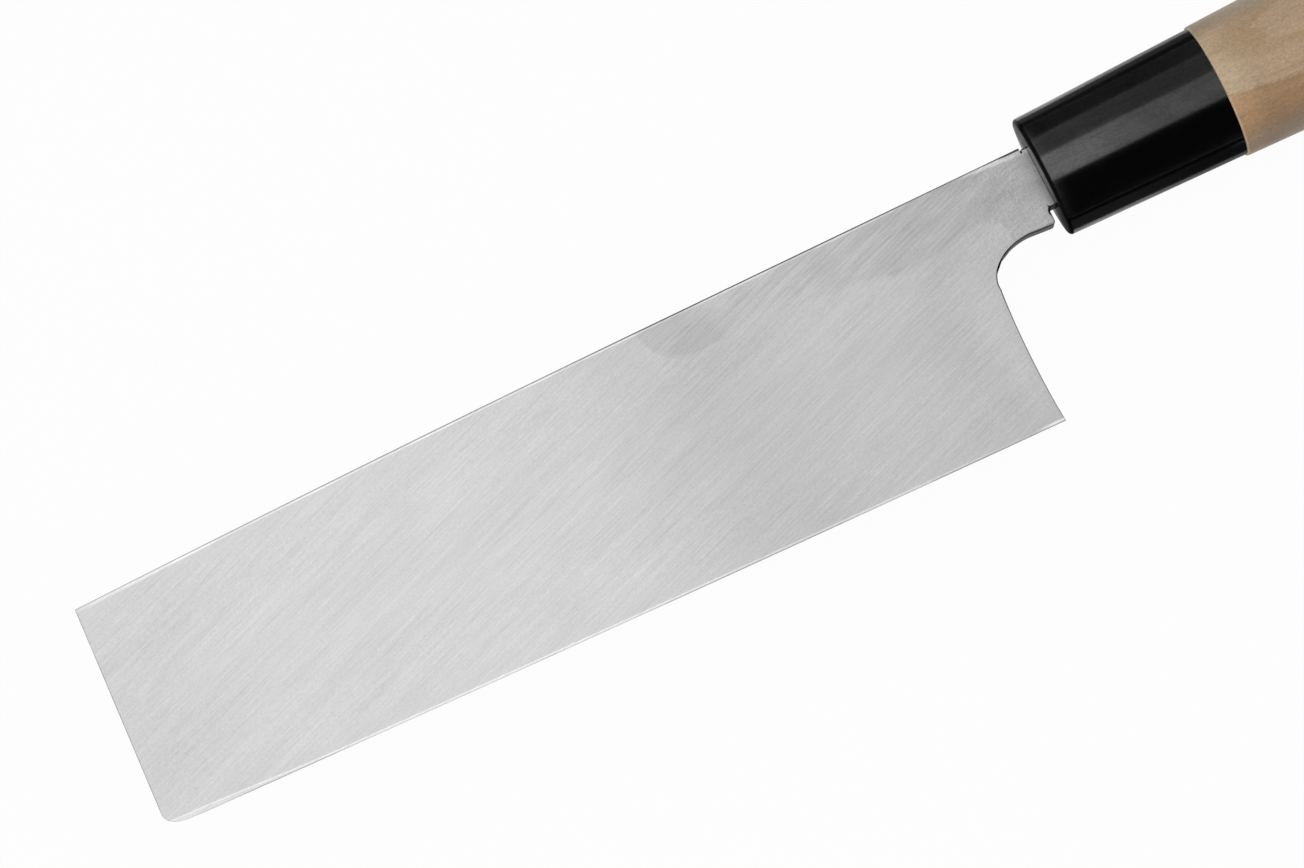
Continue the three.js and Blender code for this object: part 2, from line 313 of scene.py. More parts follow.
# Studio, in metres: the table, the soft box, the surroundings and the cards
table_size = 12
table_level = 0.6
table_glow = 0.97
seen_rays = ("Is Camera Ray", "Is Glossy Ray", "Is Transmission Ray")
box_low = Vector((-0.75, -0.21, 0.9))
box_high = Vector((0.16, 0.42, 0.9))
box_light = 0.65
horizon_level = 0.75
zenith_level = 0.8
card_levels = {
    "black_card": 0.0,
    "dark_card": 0.05,
    "dusky_card": 0.1,
    "shady_card": 0.2,
    "faint_card": 0.3,
    "dim_card": 0.36,
}
card_x = -0.02
card_top = 0.91
card_floor = 0.001
along_handle = (0.32, 0, 0)
along_ferrule = (0.09, 0, 0)

# Each card's name, corner, two sides and finish
cards = [
    ("card_edge_side", (card_x, box_low.y, card_top), along_handle, (0, -1.4, -0.9), "black_card"),
    ("card_spine_side", (card_x, box_high.y, card_top), along_handle, (0, 1.0, 0), "dim_card"),
    ("card_spine_side_low", (card_x, 1.42, card_top), along_handle, (0, 0.4, -0.9), "dark_card"),
    # The cards on the table darken it only in reflections; the near ones beside the ferrule and the one under
    # the blade are painted shade in place of the knife's shade on the table.
    ("card_edge_side_near", (card_x, -0.0078, card_floor), along_ferrule, (0, -0.0622, 0), "dusky_card"),
    ("card_edge_side_floor", (card_x, -0.07, card_floor), along_handle, (0, -1.54, 0), "black_card"),
    ("card_spine_side_near", (card_x, 0.0415, card_floor), along_ferrule, (0, 0.0335, 0), "shady_card"),
    ("card_spine_side_floor", (card_x, 0.075, card_floor), along_handle, (0, 1.76, 0), "dark_card"),
    ("shadow_card_under_blade", (-0.03, -0.04, card_floor), (0.058, 0, 0), (0, 0.082, 0), "faint_card"),
]

# Camera: its turn and height in degrees, its lens, and where it looks
view_turn = -26.05
view_height = 80
view_target = Vector((-52.021, 1.529, 11.400))
view_distance = 1373.6
sensor_width = 36
lens_length = 220.86

# Where the handle's axis meets the ferrule's front, in the frame
handle_low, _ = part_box("handle")
_, steel_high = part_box("blade_edge_steel")
axis_place = Vector(
    (
        handle_low.x - (ferrule_cap + fit_gap) * MM,
        steel_high.y - spine_height * MM,
        steel_high.z - back_z * MM,
    )
)


def choose_nothing():
    """Leaves edit mode and deselects everything."""
    if bpy.context.mode != "OBJECT":
        bpy.ops.object.mode_set(mode="OBJECT")
    bpy.ops.object.select_all(action="DESELECT")


def only(piece):
    """Makes a piece the one that is selected and active, outside edit mode."""
    choose_nothing()
    piece.select_set(True)
    bpy.context.view_layer.objects.active = piece


def choose(piece, kind, test):
    """Opens a piece for editing with those vertices, edges or faces selected whose points all pass a test."""
    only(piece)
    bpy.ops.object.mode_set(mode="EDIT")
    bpy.ops.mesh.select_mode(type=kind)
    bpy.ops.mesh.select_all(action="DESELECT")
    bpy.ops.object.mode_set(mode="OBJECT")
    mesh = piece.data
    points = [v.co for v in mesh.vertices]
    parts = {"VERT": mesh.vertices, "EDGE": mesh.edges, "FACE": mesh.polygons}[kind]
    for part in parts:
        corners = [part.index] if kind == "VERT" else part.vertices
        part.select = all(test(points[i]) for i in corners)
    bpy.ops.object.mode_set(mode="EDIT")


def choose_all(piece):
    """Opens a piece for editing with everything selected."""
    only(piece)
    bpy.ops.object.mode_set(mode="EDIT")
    bpy.ops.mesh.select_all(action="SELECT")


def choose_sharp(piece, test):
    """Opens a piece for editing with its sharp edges selected whose points all pass a test."""
    choose(piece, "EDGE", lambda p: False)
    bpy.ops.mesh.edges_select_sharp(sharpness=math.radians(sharp_angle))
    bpy.ops.object.mode_set(mode="OBJECT")
    for edge in piece.data.edges:
        edge.select = edge.select and all(test(piece.data.vertices[i].co) for i in edge.vertices)
    bpy.ops.object.mode_set(mode="EDIT")


def done():
    """Leaves edit mode."""
    bpy.ops.object.mode_set(mode="OBJECT")


def face_outwards(piece):
    """Turns all faces of a piece to the outside."""
    choose_all(piece)
    bpy.ops.mesh.normals_make_consistent(inside=False)
    done()


def apply_modifier(piece, kind, **settings):
    """Changes a piece by a modifier with these settings."""
    only(piece)
    modifier = piece.modifiers.new(kind.title(), kind)
    for name, value in settings.items():
        setattr(modifier, name, value)
    bpy.ops.object.modifier_apply(modifier=modifier.name)


def cut_away(piece, cutter):
    """Cuts the form of another piece out of a piece."""
    apply_modifier(piece, "BOOLEAN", operation="DIFFERENCE", object=cutter, solver="EXACT")
    bpy.data.objects.remove(cutter)


def place(piece, name, slot, finish, *nodes, smooth=oval_smooth, shift=(0, 0, 0)):
    """Sets a finished piece at its place in the frame, in metres, names it, gives it its finish and hides the
    CAD parts it replaces.
    """
    only(piece)
    piece.name = name
    piece.scale = (MM, MM, MM)
    piece.location = axis_place + MM * Vector(shift)
    bpy.ops.object.transform_apply(location=True, rotation=True, scale=True)
    face_outwards(piece)
    bpy.ops.object.shade_smooth_by_angle(angle=math.radians(smooth))
    piece.data.materials.clear()
    piece.data.materials.append(finish)
    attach(piece, "root")
    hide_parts(*nodes)


def between(a, b, share):
    """A value that lies some share of the way from one to another."""
    return a + (b - a) * share


# Places on the blade, with X counted from the notch and Z from the back
heel_x = -neck_length
tip_x = -blade_length - tip_lean
choil_x = heel_x + heel_lean
choil_top = -neck_depth + neck_rise
choil_foot = choil_top - choil_drop


def edge_y(x):
    """Height of the straight line from the heel to the tip."""
    return between(-heel_depth, -tip_depth, (x - heel_x) / (tip_x - heel_x))


def bow_y(x):
    """Height of the cutting edge, which bows a little below that line."""
    share = (x - heel_x) / (tip_x - heel_x)
    return edge_y(x) - 4 * edge_belly * share * (1 - share)


def spine_y(x):
    """Height of the spine, which falls towards the tip."""
    past = max(0, -x - (blade_length - spine_fall_length))
    return spine_height - spine_fall * (past / spine_fall_length) ** 2


def heel_reach(x, y):
    """How far a place on the back lies inside the line of the heel, the choil and the neck's underside."""
    centre_x = choil_x + choil_width
    if y < choil_foot:
        return heel_x - heel_hollow - x
    if x > centre_x:
        return y - choil_top
    return (math.hypot((centre_x - x) / choil_width, (y - choil_foot) / choil_drop) - 1) * choil_drop


border_x, border_y = np.array(flat_border).T
fine_x = np.linspace(border_x[0], border_x[-1], border_steps)
fine_y = np.interp(fine_x, border_x, border_y)


def flat_reach(x, y):
    """How far a place on the back lies outside the flat beside the neck."""
    if x > border_x[-1] or (x > border_x[0] and y > np.interp(x, border_x, border_y)):
        return 0
    return np.hypot(fine_x - x, fine_y - y).min()


def ease(share):
    """Sets in at once and ends gently, as a share goes from 0 to 1."""
    share = min(max(share, 0), 1)
    return 1 - (1 - share) ** 2


def hollow_share(x, y):
    """How much of the hollow's full depth is ground away at a place on the back."""
    half = (spine_y(x) - bow_y(x)) / 2
    tip_line = tip_x + tip_lean * (y + tip_depth) / (spine_height + tip_depth)
    return min(
        ease((spine_y(x) - y - hollow_spine_rim) / half),
        ease((y - bow_y(x) - hollow_edge_rim) / half),
        ease((x - tip_line - hollow_end_rim) / half),
        ease((heel_reach(x, y) - hollow_end_rim) / flat_slope),
        ease(flat_reach(x, y) / flat_slope),
    )


def blade_outline():
    """The blade's outline as one face, its corners set and rounded one by one."""
    heel_middle = between(choil_foot, -heel_depth, 0.5)
    spine = np.linspace(spine_fall_length - blade_length, -blade_length, curve_steps)
    edge = np.linspace(tip_x + tip_cut_clear, heel_x, curve_steps)
    choil = np.linspace(-choil_overrun, math.pi / 2, 2 * curve_steps)
    corners = [
        (0, spine_height, 0),
        *((x, spine_y(x), 0) for x in spine),
        (tip_x, -tip_depth + tip_cut_height, tip_rounding),
        (tip_x + tip_cut_length, -tip_depth + tip_cut_foot, tip_rounding),
        *((x, bow_y(x), 0) for x in edge),
        (heel_x - 2 * heel_hollow, heel_middle, heel_rounding_share * (choil_foot + heel_depth)),
        *(
            (choil_x + choil_width * (1 - math.cos(turn)), choil_foot + choil_drop * math.sin(turn), 0)
            for turn in choil
        ),
        (0, -neck_depth, neck_rounding),
    ]
    choose_nothing()
    bpy.ops.mesh.primitive_circle_add(vertices=len(corners), radius=1, fill_type="NGON")
    blank = bpy.context.object
    starts = [v.co.copy() for v in blank.data.vertices]
    for start, (x, y, _) in zip(starts, corners):
        choose(blank, "VERT", lambda p: (p - start).length < tiny)
        bpy.ops.transform.translate(value=Vector((x, y, 0)) - start)
    for x, y, rounding in corners:
        if rounding:
            corner = Vector((x, y, 0))
            choose(blank, "VERT", lambda p: (p - corner).length < tiny)
            bpy.ops.mesh.bevel(offset=rounding, segments=curve_steps, affect="VERTICES")
    return blank


def blade_blank():
    """The whole blade: a plate that is bevelled in front, thinned to the tip and hollowed at the back."""
    blank = blade_outline()
    # Rows of faces from spine to edge, close together where the flat and the rims are
    height = spine_height + heel_depth
    rows = [hollow_spine_rim, *flat_rows, *hollow_rows, height - last_row, height - hollow_edge_rim]
    for row in rows:
        right = Vector((heel_x, spine_height - row, 0))
        left = Vector((tip_x, between(spine_height - spine_fall, -tip_depth, row / height), 0))
        along = (left - right).normalized()
        choose_all(blank)
        bpy.ops.mesh.bisect(plane_co=right, plane_no=(-along.y, along.x, 0))
    choose_all(blank)
    bpy.ops.mesh.extrude_region_move(TRANSFORM_OT_translate={"value": (0, 0, -neck_thickness)})
    face_outwards(blank)
    # The wide bevel, from the cutting edge up to the ridge
    edge_start = Vector((heel_x, -heel_depth, -edge_land))
    along = (Vector((tip_x, -tip_depth, -edge_land)) - edge_start).normalized()
    rise = Vector((along.y, -along.x, (edge_land - neck_thickness) / bevel_width))
    choose_all(blank)
    bpy.ops.mesh.bisect(
        plane_co=edge_start,
        plane_no=along.cross(rise).normalized(),
        use_fill=True,
        clear_outer=True,
    )
    # Stations along the blade
    for i in range(int(-tip_x / station_step)):
        choose_all(blank)
        bpy.ops.mesh.bisect(plane_co=(-station_step * (i + 0.5), 0, 0), plane_no=(1, 0, 0))
    thinned = 1 - tip_thickness / neck_thickness
    apply_modifier(
        blank,
        "SIMPLE_DEFORM",
        deform_method="TAPER",
        deform_axis="X",
        lock_y=True,
        factor=thinned * blank.dimensions.x / blade_length,
    )
    hollow = blank.vertex_groups.new(name="hollow")
    for v in blank.data.vertices:
        if v.co.z > -tiny:
            hollow.add([v.index], hollow_share(v.co.x, v.co.y), "REPLACE")
    apply_modifier(
        blank,
        "DISPLACE",
        direction="Z",
        mid_level=0,
        strength=-hollow_depth,
        vertex_group="hollow",
    )
    choose_sharp(blank, lambda p: p.y > edge_y(p.x) + sharp_edge_height and p.x < -sharp_end_length)
    bpy.ops.mesh.bevel(offset=edge_rounding, segments=arris_segments, affect="EDGES")
    done()
    return blank


def blade_layer(blank, back):
    """One of the blade's two steels: a copy of the blank, parted at the weld."""
    only(blank)
    bpy.ops.object.duplicate()
    layer = bpy.context.object
    choose_all(layer)
    bpy.ops.mesh.bisect(
        plane_co=(0, 0, -edge_steel_thickness),
        plane_no=(0, 0, 1),
        use_fill=True,
        clear_inner=back,
        clear_outer=not back,
    )
    done()
    return layer


def tang():
    """The bare root of the tang behind the notch, drawn out to its thin end inside the handle."""
    height = tang_top + tang_bottom
    choose_nothing()
    bpy.ops.mesh.primitive_cube_add(
        size=1,
        location=(notch_gap / 2, (tang_top - tang_bottom) / 2, -back_z),
        scale=(notch_gap, height, neck_thickness),
    )
    bar = bpy.context.object
    bpy.ops.object.transform_apply(location=True, rotation=False, scale=True)
    choose(bar, "FACE", lambda p: p.x > notch_gap / 2)
    bpy.ops.mesh.extrude_region_move(TRANSFORM_OT_translate={"value": (tang_length, 0, 0)})
    bpy.ops.transform.resize(value=(1, tang_end_height / height, tang_end_thickness / neck_thickness))
    done()
    cut_away(bar, block((0, tang_top - nick_height, -nick_depth), (nick_width, 2 * tang_top, nick_depth)))
    return bar


def oval_bar(x, size):
    """An oval face at x, for the handle's pieces to be drawn out from."""
    choose_nothing()
    bpy.ops.mesh.primitive_circle_add(
        vertices=oval_sides,
        radius=0.5,
        fill_type="NGON",
        location=(x, centre_y(x), 0),
        rotation=(0, math.pi / 2, 0),
    )
    bar = bpy.context.object
    bar.scale = (size[1], size[0], 1)
    bpy.ops.object.transform_apply(location=True, rotation=True, scale=True)
    return bar


def centre_y(x):
    """Height of the handle's centre line, which climbs towards the butt."""
    return handle_rise * x / handle_length


def draw_out(bar, start, size, end, end_size):
    """Draws the open end of a bar out to a new oval."""
    choose(bar, "FACE", lambda p: abs(p.x - start) < tiny)
    bpy.ops.mesh.extrude_region_move(
        TRANSFORM_OT_translate={"value": (end - start, centre_y(end) - centre_y(start), 0)}
    )
    bpy.ops.transform.resize(value=(1, end_size[0] / size[0], end_size[1] / size[1]))
    done()


def round_rim(bar, x, rounding):
    """Rounds the rim of the face at x."""
    choose(bar, "EDGE", lambda p: abs(p.x - x) < tiny)
    bpy.ops.mesh.bevel(offset=rounding, segments=rim_segments, affect="EDGES")
    done()


def block(low, high):
    """A plain block between two corners, to cut with."""
    choose_nothing()
    middle = (Vector(low) + Vector(high)) / 2
    bpy.ops.mesh.primitive_cube_add(size=1, location=middle, scale=Vector(high) - Vector(low))
    bpy.ops.object.transform_apply(location=True, rotation=False, scale=True)
    return bpy.context.object


def make_ferrule():
    """A cap over the handle's front, with a slot for the tang in its closed end."""
    collar = [between(a, b, ferrule_cap / ferrule_length) for a, b in zip(ferrule_front, ferrule_rear)]
    bar = oval_bar(0, ferrule_front)
    draw_out(bar, 0, ferrule_front, ferrule_cap, collar)
    draw_out(bar, ferrule_cap, collar, ferrule_length, ferrule_rear)
    round_rim(bar, 0, ferrule_rounding)
    # The front face is a little out of square
    choose(bar, "VERT", lambda p: p.x < 2 * ferrule_rounding)
    for axis, turn in (("Z", -face_slant), ("Y", face_tilt)):
        bpy.ops.transform.rotate(value=math.atan(turn), orient_axis=axis, center_override=(0, 0, 0))
    choose(bar, "FACE", lambda p: abs(p.x - ferrule_length) < tiny)
    bpy.ops.mesh.inset(thickness=ferrule_wall)
    bpy.ops.mesh.extrude_region_move(TRANSFORM_OT_translate={"value": (ferrule_cap - ferrule_length, 0, 0)})
    face_outwards(bar)
    slot_low = (-cutter_margin, -tang_bottom - fit_gap, -back_z - fit_gap)
    slot_high = (ferrule_cap + cutter_margin, tang_top + fit_gap, back_z + fit_gap)
    cut_away(bar, block(slot_low, slot_high))
    return bar


def make_handle():
    """A grip that swells to the butt, with a tenon for the ferrule and a mortise for the tang."""

    def on_shoulder(p):
        """Whether a point lies on the outer rim of the shoulder behind the ferrule."""
        out = math.hypot((p.y - centre_y(p.x)) / grip_front[0], p.z / grip_front[1])
        return abs(p.x - ferrule_length) < tiny and out > outer_rim

    grip_length = handle_length - ferrule_length
    bar = oval_bar(ferrule_length, grip_front)
    last_x, last = ferrule_length, grip_front
    for i in range(1, grip_steps + 1):
        x = ferrule_length + grip_length * i / grip_steps
        swell = math.sin(math.pi / 2 * i / grip_steps)
        size = [between(front, rear, swell) for front, rear in zip(grip_front, butt)]
        draw_out(bar, last_x, last, x, size)
        last_x, last = x, size
    round_rim(bar, handle_length, butt_rounding)
    choose(bar, "FACE", lambda p: abs(p.x - ferrule_length) < tiny)
    bpy.ops.mesh.inset(thickness=tenon_inset)
    bpy.ops.mesh.extrude_region_move(
        TRANSFORM_OT_translate={"value": (ferrule_cap + fit_gap - ferrule_length, 0, 0)}
    )
    choose_sharp(bar, on_shoulder)
    bpy.ops.mesh.bevel(offset=shoulder_chamfer, segments=arris_segments, affect="EDGES")
    face_outwards(bar)
    low = (0, -tang_bottom - mortise_gap, -back_z - mortise_gap)
    high = (tang_length + mortise_gap, tang_top + mortise_gap, back_z + mortise_gap)
    mortise = block(low, high)
    choose(mortise, "VERT", lambda p: p.x > 1)
    bpy.ops.transform.resize(
        value=(
            1,
            (tang_end_height + 2 * mortise_gap) / (high[1] - low[1]),
            (tang_end_thickness + 2 * mortise_gap) / (high[2] - low[2]),
        )
    )
    done()
    cut_away(bar, mortise)
    return bar


class Wire:
    """An output of a shader node, which can be reckoned with like a number."""

    def __init__(self, tree, socket=None):
        self.tree = tree
        self.socket = socket

    def node(self, kind, settings=None, inputs=None, output=0):
        """Adds a node, sets it up, and feeds its sockets with values or other outputs."""
        made = self.tree.nodes.new(kind)
        for name, value in (settings or {}).items():
            setattr(made, name, value)
        for name, value in (inputs or {}).items():
            if isinstance(value, Wire):
                self.tree.links.new(value.socket, made.inputs[name])
            else:
                made.inputs[name].default_value = value
        return Wire(self.tree, made.outputs[output] if made.outputs else None)

    def math(self, operation, *values):
        return self.node("ShaderNodeMath", {"operation": operation}, dict(enumerate(values)))

    def __add__(self, other):
        return self.math("ADD", self, other)

    __radd__ = __add__

    def __sub__(self, other):
        return self.math("SUBTRACT", self, other)

    def __rsub__(self, other):
        return self.math("SUBTRACT", other, self)

    def __mul__(self, other):
        return self.math("MULTIPLY", self, other)

    __rmul__ = __mul__

    def __truediv__(self, other):
        return self.math("DIVIDE", self, other)

    def __abs__(self):
        return self.math("ABSOLUTE", self)

    def higher(self, other):
        return self.math("MAXIMUM", self, other)

    def step(self, low, high):
        """Rises smoothly from 0 to 1 between two values."""
        return self.node(
            "ShaderNodeMapRange",
            {"interpolation_type": "SMOOTHSTEP"},
            {"Value": self, "From Min": low, "From Max": high},
        )

    def fall(self, low, high):
        """Falls smoothly from 1 to 0 between two values."""
        return 1 - self.step(low, high)

    def line(self, place, inner, outer):
        """1 near a value, which fades to 0 between two distances from it."""
        return abs(self - place).fall(inner, outer)

    def colour(self, first, second):
        """Goes from one colour to another as this value goes from 0 to 1."""
        return self.node(
            "ShaderNodeMix",
            {"data_type": "RGBA"},
            {"Factor": self, 6: first, 7: second},
            output=2,
        )

    def curve(self, points):
        """Follows a smooth curve through points, as this value goes from 0 to 1."""
        made = self.tree.nodes.new("ShaderNodeFloatCurve")
        shape = made.mapping.curves[0]
        shape.points[0].location = points[0]
        shape.points[1].location = points[-1]
        for point in points[1:-1]:
            shape.points.new(*point)
        made.mapping.update()
        self.tree.links.new(self.socket, made.inputs["Value"])
        return Wire(self.tree, made.outputs[0])


def new_finish(name):
    finish = bpy.data.materials.new(name)
    finish.use_nodes = True
    finish.node_tree.nodes.clear()
    return finish, Wire(finish.node_tree)


def shaded(sheet, sockets):
    """Ends a finish in one surface shader."""
    surface = sheet.node("ShaderNodeBsdfPrincipled", {}, sockets)
    sheet.node("ShaderNodeOutputMaterial", {}, {"Surface": surface})


def grey(level):
    return (level, level, level, 1)


def grey_of(level):
    """A grey colour from a shader value."""
    return level.node("ShaderNodeCombineColor", {}, {"Red": level, "Green": level, "Blue": level})


def from_place(sheet, x, y, z):
    """Object coordinates in millimetres, counted from a place on the handle's axis."""
    there = axis_place + MM * Vector((x, y, z))
    coordinates = sheet.node("ShaderNodeTexCoord", output="Object")
    moved = sheet.node("ShaderNodeVectorMath", {"operation": "SUBTRACT"}, {0: coordinates, 1: there})
    return sheet.node("ShaderNodeVectorMath", {"operation": "SCALE"}, {0: moved, "Scale": 1 / MM})


def parts_of(vector):
    return [vector.node("ShaderNodeSeparateXYZ", {}, {0: vector}, output=i) for i in range(3)]


def grain(vector, length, width, turn=0, detail=2, roughness=0.5):
    """Noise around zero whose marks are so long and so wide, turned in the plane of the blade."""
    stretched = vector.node(
        "ShaderNodeMapping",
        {"vector_type": "TEXTURE"},
        {"Vector": vector, "Rotation": (0, 0, math.radians(turn)), "Scale": (length, width, width)},
    )
    noise = vector.node(
        "ShaderNodeTexNoise",
        {},
        {"Vector": stretched, "Scale": 1, "Detail": detail, "Roughness": roughness, "Distortion": 0},
    )
    return noise - 0.5


def bumped(sheet, height, distance):
    """A normal from a height in millimetres."""
    return sheet.node(
        "ShaderNodeBump",
        {},
        {"Height": height, "Distance": distance * MM, "Strength": 1},
        output="Normal",
    )


def levelness(sheet):
    """How far a surface faces up or down: 1 on level faces, 0 on walls."""
    normal = sheet.node("ShaderNodeNewGeometry", output="Normal")
    return abs(parts_of(normal)[2])


# The blade's lines as shader values, with X counted from the notch


def edge_line(x):
    """Height of the bowed cutting edge."""
    share = (x - heel_x) / (tip_x - heel_x)
    return share * (heel_depth - tip_depth) - heel_depth - share * (1 - share) * (4 * edge_belly)


def spine_line(x):
    """Height of the spine."""
    past = (0 - x - (blade_length - spine_fall_length)).higher(0) / spine_fall_length
    return spine_height - past * past * spine_fall


def heel_line(x, y):
    """How far a place on the back lies inside the heel, the choil and the neck's underside."""
    share = (y + heel_depth) / (choil_foot + heel_depth)
    heel = heel_x + share * share * heel_lean - share * (1 - share) * (4 * heel_hollow) - x
    across = ((choil_x + choil_width - x) / choil_width).higher(0)
    along = (y - choil_foot) / choil_drop
    choil = (across * across + along * along - 1) * (choil_drop / 2)
    return heel + (choil - heel) * y.step(choil_foot - 0.1, choil_foot + 0.1)


def flat_mask(spot, x, y):
    """1 on the flat beside the neck, 0 on the hollow."""
    low, high = border_range
    length, height = border_x[-1] - border_x[0], high - low
    points = [((px - border_x[0]) / length, (py - low) / height) for px, py in flat_border]
    border = ((x - border_x[0]) / length).curve(points)
    above_border = y - border * height - low + grain(spot, *border_marks) * border_sway
    return above_border.step(*border_fade) * x.step(border_x[0] - 0.6, border_x[0] + 0.6)


def painted_rim_highlights(spot, x, y, speck):
    """Painted highlights: how much brighter the polished rims, the spine's hairline and the broken corner
    beside the notch are.
    """
    edge_depth = y - edge_line(x)
    strip_width = hollow_edge_rim - x.step(*narrow_strip_zone) * strip_narrowing
    strip_inside = (edge_depth - strip_width).fall(*strip_border)
    strip = (strip_inside * 0.4).higher(edge_depth.line(strip_width, *strip_line))
    strip = strip * (1 - x.step(*faint_strip_zone) * 0.7)
    heel_glint = edge_depth.line(glint_depth, *glint_line) * x.step(*heel_zone)
    spine_depth = spine_line(x) - y
    hairline = spine_depth.line(hairline_depth, 0.05, 0.2 + x.fall(*tip_zone) * 0.3)
    hairline = hairline * (0.6 + grain(spot, *hairline_gaps).step(-0.06, 0.06) * 0.4)
    hairline = hairline * (0.5 + x.step(*tip_end_zone) * 0.5) * x.fall(*hairline_end_zone)
    corner_depth = spine_depth - corner_width - x * corner_slope + speck * 1.2
    corner = corner_depth.fall(*corner_border) * x.step(*corner_zone)
    return strip * 0.33 + heel_glint * 0.5 + hairline * 0.42 + corner * 0.5


def painted_rim_shade(spot, x, y):
    """Painted shade at the neck's end below the tang, along the rims, on the tang's top and in its nick."""
    notch_top = y.step(-tang_bottom - 2, -tang_bottom - 0.8)
    notch_left = (notch_shade_x - x).higher(0) + (1 - notch_top) * 0.2
    notch_rise = (y + tang_bottom + notch_shade_rise).higher(0)
    neck_end = (notch_left * notch_left + notch_rise * notch_rise).fall(*notch_shade_fade)
    neck_end = neck_end * (1 + notch_top * 0.5)
    spine_depth = spine_line(x) - y - x.step(*wide_spine_shade_zone) * 0.16
    spine_shade_strength = x.step(*faint_spine_shade_zone) * 0.35 + x.step(*rim_shade_zone)
    spine_shade_strength = spine_shade_strength - x.step(*neck_shade_dip_zone) * 0.5 + x.step(*neck_end_shade_zone) * 0.5
    spine = spine_depth.fall(*spine_shade_fade) * x.fall(-0.05, 0.05) * spine_shade_strength
    behind_nick = x.step(nick_width, nick_width + 0.1)
    tang = behind_nick * y.step(tang_top - 0.25, tang_top - 0.12)
    nick = x.step(-0.1, 0) * (1 - behind_nick) * y.step(tang_top - nick_height - 0.2, tang_top - nick_height)
    heel_shade_strength = 0.55 + y.step(heel_shade_foot, choil_foot) * 0.7 - y.step(choil_foot + 2, choil_top) * 0.8
    heel = heel_line(x, y).fall(*heel_shade_fade) * heel_shade_strength * x.step(*heel_zone)
    edge_shade_strength = 0.2 + grain(spot, *edge_shade_marks).step(-0.06, 0.08) * 0.6
    edge = (y - edge_line(x)).fall(*edge_shade_fade) * edge_shade_strength
    darkest = neck_end
    for place_shade in (edge, spine, tang * 1.4, nick * 1.4, heel):
        darkest = darkest.higher(place_shade)
    return darkest


def brushed_back(spot, x, y):
    """Tone of the blade's brushed back with its painted light and shade, its brush lines, and how high those
    lines stand.
    """
    flat = flat_mask(spot, x, y)
    neck = x.step(*neck_zone)
    fine = grain(spot, *fine_marks, detail=4, roughness=0.75)
    crossed = grain(spot, *crossed_marks, detail=4, roughness=0.75)
    middle = grain(spot, *middle_marks, detail=3, roughness=0.65)
    speck = grain(spot, *speck_marks, roughness=0.7)
    scratch = grain(spot, *scratch_marks, detail=1).step(0.2, 0.3)
    hatch = grain(spot, *hatch_marks, detail=3, roughness=0.7)
    lines = fine + (crossed - fine) * flat
    tone = 1 + lines * (0.4 + x.step(*strong_lines_zone) * 0.22 + neck * 0.3) + hatch * neck * 0.55
    tone = tone + middle * (0.3 + flat * 0.3 - neck * 0.25) + speck * (0.36 + neck * 0.3)
    tone = tone + scratch * 0.04 + grain(spot, *broad_marks) * 0.08 + grain(spot, *cloud_marks) * 0.1
    # The flat is duller. Painted shade darkens the blade towards the neck and at the tip, and a painted
    # highlight lightens a band some way before the neck
    dull = 0.03 + x.fall(*flat_front_zone) * 0.08 + x.step(*flat_neck_zone) * 0.06
    dull = flat * (dull + grain(spot, *blotch_marks) * (0.25 + neck * 0.3))
    dark = (x + y * shade_slant).step(*shade_zone) + x.fall(*tip_zone) * 0.3
    light = x.step(*light_zone) - x.step(*light_end_zone)
    tone = tone * (1 - dull) * (1 - dark * 0.15) * (1 + light * 0.05) * (1 - neck * 0.05)
    # Painted highlights on the polished rims, and painted shade along the rims, at the neck's end and on the
    # tang's top and nick
    tone = tone * (1 + painted_rim_highlights(spot, x, y, speck)) * (1 - painted_rim_shade(spot, x, y) * 0.65)
    return tone, lines, lines * 0.6 + middle * 0.5 + scratch * 0.3


def brushed_steel():
    """Satin back of the blade: slanting brush lines, a duller flat beside the neck and polished rims, with
    painted shade on its walls and rounded edges.
    """
    finish, sheet = new_finish("brushed_edge_steel")
    spot = from_place(sheet, -notch_gap, 0, back_z)
    x, y, _ = parts_of(spot)
    tone, lines, height = brushed_back(spot, x, y)
    level_face = levelness(sheet)
    # Painted shade darkens the rounded edges and the walls, more towards the neck; on the tip's corner the
    # rounded edge gets a painted highlight instead.
    tip_corner = x.fall(*tip_corner_zone) * y.fall(*tip_corner_height)
    arris = level_face.fall(*arris_faces) * (0.4 + x.step(*rim_shade_zone) * 0.3 - tip_corner * 0.9)
    wall = level_face.fall(*wall_faces) * x.step(*wall_shade_zone)
    level = tone * steel_level * (1 - arris) * (1 - wall * 0.3)
    shaded(
        sheet,
        {
            "Base Color": grey_of(level),
            "Metallic": 1.0,
            "Roughness": 0.36 + lines * 0.18 + wall * 0.1,
            "Normal": bumped(sheet, height, brush_depth),
        },
    )
    return finish


